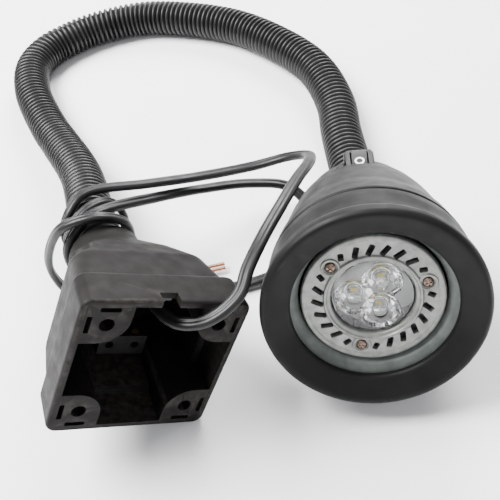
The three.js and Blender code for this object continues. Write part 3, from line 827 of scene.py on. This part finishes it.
def build_hood():
    section = rounded_line(HOOD_SECTION, 0.9, 5, closed=True)
    hood = add_mesh("hood", turned(section, HEAD_SEGMENTS), BLACK_PLASTIC, HEAD)
    finished(hood, "hood", "black_plastic", "front_hood")


def switch_openings():
    """The raised pad round the switch, and the cuts for its well and its rim."""
    on_switch = HEAD.inverted() @ SWITCH
    half = SWITCH_LENGTH / 2
    pad = block(SWITCH_WIDTH + 1.6, 2.8, front=-half - 0.6, back=half + 0.6, y=-1.2, corner=0.8)
    well = block(SWITCH_WIDTH - 1.6, 24, front=0.7 - half, back=half - 0.7)
    pocket = block(SWITCH_WIDTH + 0.6, 5.8, front=-half - 0.3, back=half + 0.3, y=3.1)
    return [turned_by(shape, on_switch) for shape in (pad, well, pocket)]


def build_housing():
    section = rounded_line(HOUSING_SECTION, 0.8, closed=True)
    pad, *cuts = switch_openings()
    body = combined(turned(section, HEAD_SEGMENTS), [pad], "UNION")
    for first in VENT_GROUPS:
        for i in range(VENTS_IN_GROUP):
            vent = block(1.2, 8, front=62.5, back=70.5, y=26, corner=0.3)
            cuts.append(turned_by(vent, turn_about("Z", first + VENT_PITCH * i)))
    housing = add_mesh("rear_bowl", combined(body, cuts, "DIFFERENCE"), BLACK_PLASTIC, HEAD)
    finished(housing, "head", "black_plastic", "rear_housing")


def build_recess():
    section = rounded_line(RECESS_SECTION, 0.5, 3, closed=True)
    recess = add_mesh("recess_ring", turned(section, RING_SEGMENTS), RECESS_GREY, HEAD)
    finished(recess, "head", "recess_grey", "seat_ring")


build_hood()
build_housing()
build_recess()


# ---- switch ---------------------------------------------------------------------------------
# Heights of the rocker's top above its pivot.
ROCKER_REAR = 3.2
ROCKER_MIDDLE = 2.1
ROCKER_FRONT = 1.1
ROCKER_HALF = 4.1
ROCKER_HALF_WIDTH = 3.1
MARK_SECTION = ((1.2, -0.08), (1.95, -0.08), (1.95, 0.2), (1.2, 0.2))


def upright(shape):
    """Turns a shape built behind the face so that it stands on the switch's place, +y up."""
    return turned_by(shape, turn_about("X", -90))


def build_switch_frame():
    rim = upright(block(SWITCH_WIDTH, SWITCH_LENGTH, front=-1.6, back=-0.5, corner=1.2))
    well = upright(block(SWITCH_WIDTH - 2.4, SWITCH_LENGTH - 2.2, front=-1, back=7, corner=0.6))
    hole = upright(block(SWITCH_WIDTH - 3.6, SWITCH_LENGTH - 3.4, front=-3, back=4.8, corner=0.5))
    body = combined(combined(rim, [well], "UNION"), [hole], "DIFFERENCE")
    piece = add_mesh("switch_frame", body, SWITCH_BLACK, SWITCH)
    finished(soften(piece, 0.25), "head", "black_plastic", "switch_body")


def build_rocker():
    side = rounded_line([
        (-ROCKER_HALF, -1.2), (-ROCKER_HALF, ROCKER_REAR), (0, ROCKER_MIDDLE),
        (ROCKER_HALF, ROCKER_FRONT), (ROCKER_HALF, -0.4), (0, -3)], 0.5, closed=True)
    rocker = skin([[(x, point.y, point.x) for point in side]
                   for x in (-ROCKER_HALF_WIDTH, ROCKER_HALF_WIDTH)])
    piece = add_mesh("switch_button", rocker, SWITCH_BLACK, SWITCH)
    finished(soften(piece, 0.25), "rocker", "black_plastic", "switch_rocker")


def build_mark():
    """A plain ring on the middle of the rocker's front slope."""
    slope = math.degrees(math.atan2(ROCKER_MIDDLE - ROCKER_FRONT, ROCKER_HALF))
    middle = Matrix.Translation((0, (ROCKER_MIDDLE + ROCKER_FRONT) / 2, ROCKER_HALF / 2))
    on_rocker = middle @ turn_about("X", slope) @ turn_about("X", -90)
    mark = add_mesh("off_mark", turned(MARK_SECTION, 48), MARK_WHITE, SWITCH @ on_rocker)
    finished(mark, "rocker", "board_white")


build_switch_frame()
build_rocker()
build_mark()


# ---- bulb -----------------------------------------------------------------------------------
# Each section: radius and distance behind the bulb's face.
FACE_SECTION = (
    (14.6, 1.2), (15.1, 0.7), (15.9, 0.5), (16.2, -0.1), (16.9, -0.1), (17.3, 0.6),
    (22.8, 0.5), (23.4, 0), (24.6, 0.1), (25, 0.8), (25, 3), (14.6, 3),
)
SCREW_RIM_SECTION = ((2.3, 0.6), (2.6, 0.1), (3.1, 0), (3.5, 0.6), (3.5, 1.4), (2.3, 1.4))
PLATE_SECTION = ((0.01, 2), (OPTIC_RADIUS - 0.2, 2), (OPTIC_RADIUS, 2.8), (0.01, 2.8))
LENS_SECTION = (
    (0.01, 3.2), (2.2, 3), (2.6, 1.4), (7, 1.4), (7.3, 2.2), (5.6, 5.8), (3.2, 9), (2.7, 9),
    (2.5, 7.2), (0.01, 6.2),
)
SCREW_SECTION = (
    (0.01, -0.25), (1.2, -0.15), (1.8, 0.3), (1.8, 1.1), (1, 1.1), (1, 3), (0.01, 3),
)
SLOT_PLACES = 24
PLACES_PER_SCREW = SLOT_PLACES // len(BULB_SCREW_ANGLES)
SLOT_WIDTH = 2.1
SLOT_SLANT = -28
LONG_SLOT = {"length": 4.4, "radius": 19.2}
SHORT_SLOT = {"length": 2.9, "radius": 19.9}
LED_SIZE = 3.2
CROSS_LENGTH = 2.4
CROSS_WIDTH = 0.5


def round_z(shape, degrees, radius):
    """Moves a shape from the axis out to a radius, at an angle."""
    return turned_by(shape, turn_about("Z", degrees) @ Matrix.Translation((radius, 0, 0)))


def face_slot(place):
    """One of the slanted slots round the face; the two beside each screw are shorter."""
    kind = SHORT_SLOT if place % PLACES_PER_SCREW in (1, PLACES_PER_SCREW - 1) else LONG_SLOT
    slot = block(kind["length"], SLOT_WIDTH, front=-1, back=4, corner=0.5)
    slanted = turned_by(slot, turn_about("Z", SLOT_SLANT))
    return round_z(slanted, BULB_SCREW_ANGLES[0] + 360 / SLOT_PLACES * place, kind["radius"])


def build_bulb_face():
    section = rounded_line(FACE_SECTION, 0.3, 3, closed=True)
    rims = [round_z(turned(SCREW_RIM_SECTION, 48), angle, BULB_SCREW_RADIUS)
            for angle in BULB_SCREW_ANGLES]
    cuts = [face_slot(place) for place in range(SLOT_PLACES) if place % PLACES_PER_SCREW]
    for angle in BULB_SCREW_ANGLES:
        cuts += [round_z(rod(2.15, front=-1, back=1.4), angle, BULB_SCREW_RADIUS),
                 round_z(rod(1.3, front=0, back=4), angle, BULB_SCREW_RADIUS)]
    body = combined(turned(section, RING_SEGMENTS), rims, "UNION")
    piece = add_mesh("bulb_front", combined(body, cuts, "DIFFERENCE"), ALUMINIUM, BULB)
    finished(soften(piece, 0.15), "bulb", "aluminium", "bulb_face")


def build_optic():
    plate = turned(rounded_line(PLATE_SECTION, 0.2, 2), 96, closed=False)
    lens_section = rounded_line(LENS_SECTION, 0.3, 3)
    lenses = [round_z(turned(lens_section, 64, closed=False), angle, LED_CIRCLE)
              for angle in LED_ANGLES]
    optic = add_mesh("triple_lens", combined(plate, lenses, "UNION"), CLEAR, BULB)
    finished(optic, "bulb", "clear", "bulb_optic")


def build_leds():
    for number, angle in enumerate(LED_ANGLES, 1):
        chip = round_z(block(LED_SIZE, LED_SIZE, front=9.7, back=11.3, corner=0.5), angle, LED_CIRCLE)
        piece = add_mesh(f"led_chip_{number}", chip, LED_YELLOW, BULB)
        finished(soften(piece, 0.1), "bulb", "led_yellow", f"led_{number}")


def build_bulb_screws():
    section = rounded_line(SCREW_SECTION, 0.2, 3)
    for number, angle in enumerate(BULB_SCREW_ANGLES, 1):
        head = turned(section, 40, closed=False)
        cross = [block(CROSS_LENGTH, CROSS_WIDTH, front=-1, back=0.35),
                 block(CROSS_WIDTH, CROSS_LENGTH, front=-1, back=0.35)]
        screw = round_z(combined(head, cross, "DIFFERENCE"), angle, BULB_SCREW_RADIUS)
        piece = add_mesh(f"face_screw_{number}", screw, SCREW_BROWN, BULB)
        finished(piece, "bulb", "screw_brown", f"bulb_screw_{number}")


build_bulb_face()
build_optic()
build_leds()
build_bulb_screws()

# ---- the rest of the CAD nodes --------------------------------------------------------------
NODE_FINISHES = {
    "base_lock_washer": ZINC, "base_lock_nut": BRASS, "base_hose_ferrule": DARK_ZINC,
    "terminal_block": NYLON, "cord_core": COPPER, "terminal_screw": BRASS, "cord_clamp": DARK_ZINC,
    "head_hose_ferrule": DARK_ZINC, "head_lock_nut": BRASS, "lamp_socket": CERAMIC,
    "socket_bracket": ZINC, "bracket_screw": ZINC, "bulb_heat_sink": DARK_ZINC,
    "led_board": BOARD_WHITE, "bulb_driver_cap": BOARD_WHITE, "bulb_pin": ZINC,
}


def finish_nodes():
    """Gives the CAD nodes that still show a finish and rounded edges."""
    for name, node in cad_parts.items():
        if node.hide_render:
            continue
        stem = next(stem for stem in NODE_FINISHES if name.startswith(stem))
        node.data.materials.clear()
        node.data.materials.append(NODE_FINISHES[stem])
        soften(node, 0.2)


finish_nodes()
